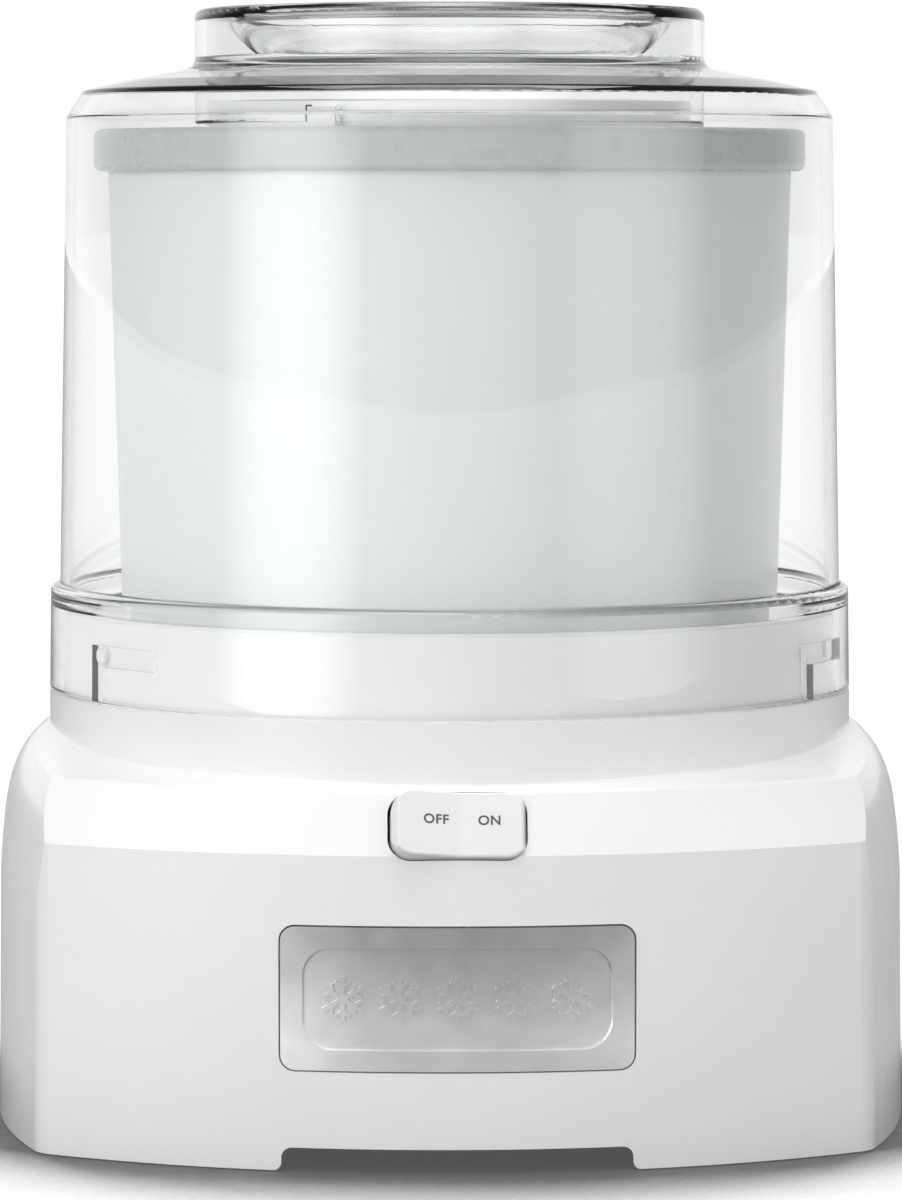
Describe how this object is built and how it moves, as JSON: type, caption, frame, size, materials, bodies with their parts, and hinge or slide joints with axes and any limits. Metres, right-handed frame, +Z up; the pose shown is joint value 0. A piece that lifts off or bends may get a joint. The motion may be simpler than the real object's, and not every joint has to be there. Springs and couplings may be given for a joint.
{
  "type": "ice cream maker",
  "caption": "Tabletop frozen-bowl ice cream maker: square-shouldered white base with rocker switch, clear tall lid with wide spout, grey-rimmed double-wall bowl.",
  "frame": {"origin": "on the resting plane of the feet, under the bowl's axis, at the middle of the footprint", "axes": "+Z up along the bowl's axis, -Y towards the front with the nameplate and switch, +X to the front's right"},
  "size_m": [0.2362, 0.2321, 0.2858],
  "materials": {
    "white_housing": "gloss white ABS",
    "white_button": "gloss white ABS",
    "clear_lid": "clear polished polystyrene",
    "silver_plate": "fine brushed silver",
    "bowl_white": "pale grey-white polypropylene",
    "rim_grey": "satin grey polypropylene",
    "liner_aluminium": "satin aluminium",
    "coolant": "frozen pale blue gel",
    "paddle_white": "satin white polypropylene",
    "hub_grey": "satin dark grey acetal",
    "gear_acetal": "natural acetal",
    "case_grey": "dark grey nylon",
    "cover_white": "white ABS, fine texture",
    "black_plastic": "black nylon",
    "foot_rubber": "soft rubber",
    "steel": "ground steel",
    "zinc_steel": "zinc plated steel",
    "stack_steel": "stamped electrical steel",
    "rotor_metal": "cast aluminium cage",
    "bronze": "oiled sintered bronze",
    "copper": "enamelled copper wire",
    "bobbin_white": "natural nylon",
    "wire_sheath": "PVC sheath"
  },
  "bodies": {
    "base": {"base_housing": "white_housing", "bottom_cover": "cover_white", "rubber_feet": "foot_rubber", "cover_screws": "zinc_steel", "nameplate": "silver_plate", "switch_body": "black_plastic", "cord_pocket": "cover_white", "cord_gland": "black_plastic", "terminal_block": "bobbin_white", "lead_wires": "wire_sheath", "gearbox_lower": "case_grey", "gearbox_upper": "case_grey", "gearbox_screws": "zinc_steel", "gear_pins": "steel", "shaft_bushes": "bronze", "shaft_seal": "foot_rubber", "motor_stack": "stack_steel", "coil_bobbin": "bobbin_white", "coil_winding": "copper", "motor_bracket_lower": "zinc_steel", "motor_bracket_upper": "zinc_steel", "motor_bushes": "bronze", "motor_screws": "zinc_steel", "motor_spacers": "zinc_steel", "thermal_cutout": "black_plastic"},
    "rocker": {"rocker_button": "white_button"},
    "motor": {"motor_shaft": "steel", "motor_rotor": "rotor_metal", "motor_fan": "black_plastic", "motor_pinion": "steel"},
    "idler_1": {"idler_gear_1": "gear_acetal"},
    "idler_2": {"idler_gear_2": "gear_acetal"},
    "bowl": {"output_gear": "gear_acetal", "output_shaft": "steel", "drive_pin": "steel", "drive_hub": "hub_grey", "bowl_shell": "bowl_white", "bowl_liner": "liner_aluminium", "bowl_coolant": "coolant", "bowl_rim": "rim_grey"},
    "paddle": {"mixing_paddle": "paddle_white"},
    "lid": {"lid": "clear_lid"}
  },
  "joints": [
    {"name": "bowl_spin", "type": "hinge", "parent": "base", "child": "bowl", "pos_m": [0, 0, 0.1], "axis": [0, 0, 1], "continuous": true},
    {"name": "idler_2_spin", "type": "hinge", "parent": "base", "child": "idler_2", "pos_m": [-0.045, 0, 0.06], "axis": [0, 0, 1], "continuous": true},
    {"name": "idler_1_spin", "type": "hinge", "parent": "base", "child": "idler_1", "pos_m": [-0.045, 0.036, 0.06], "axis": [0, 0, 1], "continuous": true},
    {"name": "motor_spin", "type": "hinge", "parent": "base", "child": "motor", "pos_m": [-0.021, 0.036, 0.03], "axis": [0, 0, 1], "continuous": true},
    {"name": "lid_twist", "type": "hinge", "parent": "base", "child": "paddle", "pos_m": [0, 0, 0.12], "axis": [0, 0, 1], "range_deg": [-12, 0]},
    {"name": "lid_lift", "type": "slide", "parent": "paddle", "child": "lid", "axis": [0, 0, 1], "range_m": [0, 0.2]},
    {"name": "power_rocker", "type": "hinge", "parent": "base", "child": "rocker", "pos_m": [0, -0.10613, 0.08262], "axis": [0, 0.4586, 0.8886], "range_deg": [-11, 0]}
  ],
  "couplings": [
    {"joint": "idler_2_spin", "follows": "bowl_spin", "ratio": -5},
    {"joint": "idler_1_spin", "follows": "bowl_spin", "ratio": 25},
    {"joint": "motor_spin", "follows": "bowl_spin", "ratio": -100}
  ]
}
